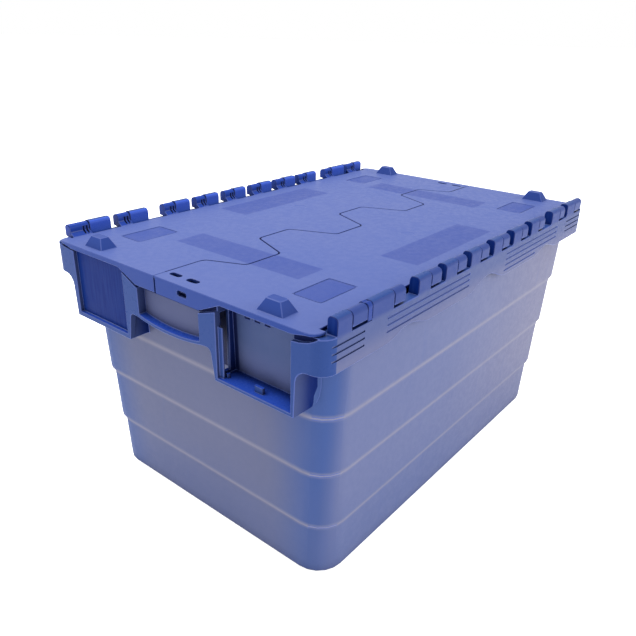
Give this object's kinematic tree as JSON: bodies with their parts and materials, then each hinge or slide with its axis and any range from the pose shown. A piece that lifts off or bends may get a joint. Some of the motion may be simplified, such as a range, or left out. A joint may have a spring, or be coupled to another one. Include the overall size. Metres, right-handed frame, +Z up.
{
  "type": "stacking crate",
  "caption": "Nestable stacking crate with stepped tapered tub, end handles, and two interlocking hinged lids that swing right down the outside of the long walls.",
  "frame": {"origin": "centre of the footprint, on the surface that the crate stands on", "axes": "+X along the long side, +Z up; the crate repeats itself after half a turn about Z"},
  "size_m": [0.6, 0.4, 0.3178],
  "materials": {
    "tub_blue": "satin grey-blue polypropylene, deeper and glossier at the rim and handles",
    "lid_blue": "satin blue polypropylene with a fine moulded texture",
    "clip_blue": "semi-gloss blue polypropylene",
    "pin_steel": "bright drawn steel"
  },
  "bodies": {
    "crate": {"tub": "tub_blue", "hinge_lock_near": "clip_blue", "hinge_lock_far": "clip_blue", "hinge_pin_near_1": "pin_steel", "hinge_pin_near_2": "pin_steel", "hinge_pin_near_3": "pin_steel", "hinge_pin_near_4": "pin_steel", "hinge_pin_near_5": "pin_steel", "hinge_pin_near_6": "pin_steel", "hinge_pin_near_7": "pin_steel", "hinge_pin_near_8": "pin_steel", "hinge_pin_near_9": "pin_steel", "hinge_pin_near_10": "pin_steel", "hinge_pin_far_1": "pin_steel", "hinge_pin_far_2": "pin_steel", "hinge_pin_far_3": "pin_steel", "hinge_pin_far_4": "pin_steel", "hinge_pin_far_5": "pin_steel", "hinge_pin_far_6": "pin_steel", "hinge_pin_far_7": "pin_steel", "hinge_pin_far_8": "pin_steel", "hinge_pin_far_9": "pin_steel", "hinge_pin_far_10": "pin_steel"},
    "lid_near": {"lid_near": "lid_blue"},
    "lid_far": {"lid_far": "lid_blue"}
  },
  "joints": [
    {"name": "lid_near_hinge", "type": "hinge", "parent": "crate", "child": "lid_near", "pos_m": [0, -0.1944, 0.3122], "axis": [1, 0, 0], "range_deg": [0, 265]},
    {"name": "lid_far_hinge", "type": "hinge", "parent": "crate", "child": "lid_far", "pos_m": [0, 0.1944, 0.3122], "axis": [-1, 0, 0], "range_deg": [0, 265]}
  ]
}
